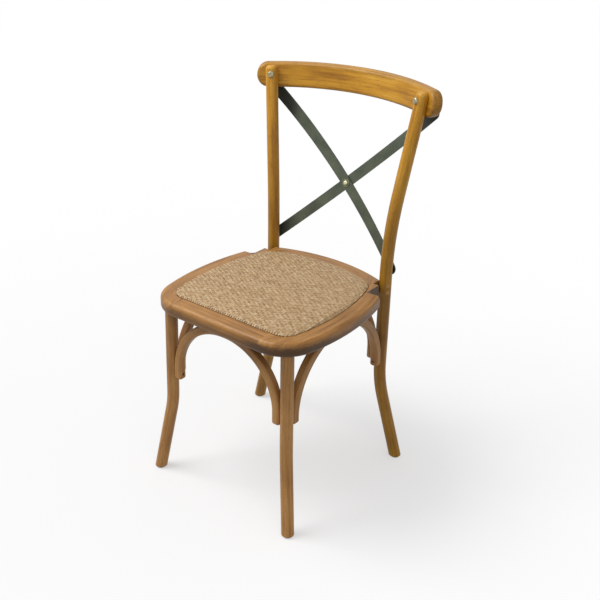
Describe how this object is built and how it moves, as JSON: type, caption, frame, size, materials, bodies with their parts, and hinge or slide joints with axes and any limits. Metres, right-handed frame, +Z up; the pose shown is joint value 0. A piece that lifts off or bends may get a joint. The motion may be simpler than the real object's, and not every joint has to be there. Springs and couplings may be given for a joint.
{
  "type": "cross back dining chair",
  "caption": "Bentwood dining chair with crossed metal straps in the back, a framed woven rattan seat, splayed round legs and arched braces below the seat.",
  "frame": {"origin": "on the floor, at the middle of the chair's overall footprint box", "axes": "+Z up, +Y towards the back of the chair, +X to the chair's side that is on the right when seen from the front"},
  "size_m": [0.4828, 0.514, 0.8882],
  "materials": {
    "back_wood": "satin varnish over ash or elm grain",
    "leg_wood": "satin varnish",
    "arch_wood": "satin varnish",
    "seat_frame_wood": "satin varnish",
    "board_wood": "raw plywood",
    "dowel_wood": "raw beech",
    "rattan": "woven cane",
    "strap_metal": "dark grey, low sheen",
    "rivet_metal": "nickelled",
    "bolt_metal": "nickelled",
    "screw_metal": "black",
    "glide_plastic": "moulded"
  },
  "bodies": {
    "root": {"back_post_left": "back_wood", "back_post_right": "back_wood", "crest_rail": "back_wood", "front_leg_left": "leg_wood", "front_leg_right": "leg_wood", "front_arch": "arch_wood", "rear_arch": "arch_wood", "left_arch": "arch_wood", "right_arch": "arch_wood", "seat_rail_front": "seat_frame_wood", "seat_rail_rear": "seat_frame_wood", "seat_rail_left": "seat_frame_wood", "seat_rail_right": "seat_frame_wood", "seat_frame_dowels": "dowel_wood", "post_bolt_plugs": "back_wood", "seat_board": "board_wood", "rattan_panel": "rattan", "cross_strap_front": "strap_metal", "cross_strap_rear": "strap_metal", "centre_rivet": "rivet_metal", "rivet_washers": "rivet_metal", "crest_bolts": "bolt_metal", "crest_bolt_washers": "bolt_metal", "crest_bolt_nuts": "bolt_metal", "strap_top_screws": "screw_metal", "strap_foot_screws": "screw_metal", "post_bolts": "bolt_metal", "arch_leg_screws": "screw_metal", "arch_seat_screws": "screw_metal", "seat_board_screws": "screw_metal", "glide_front_left": "glide_plastic", "glide_front_right": "glide_plastic", "glide_rear_left": "glide_plastic", "glide_rear_right": "glide_plastic"}
  },
  "joints": []
}
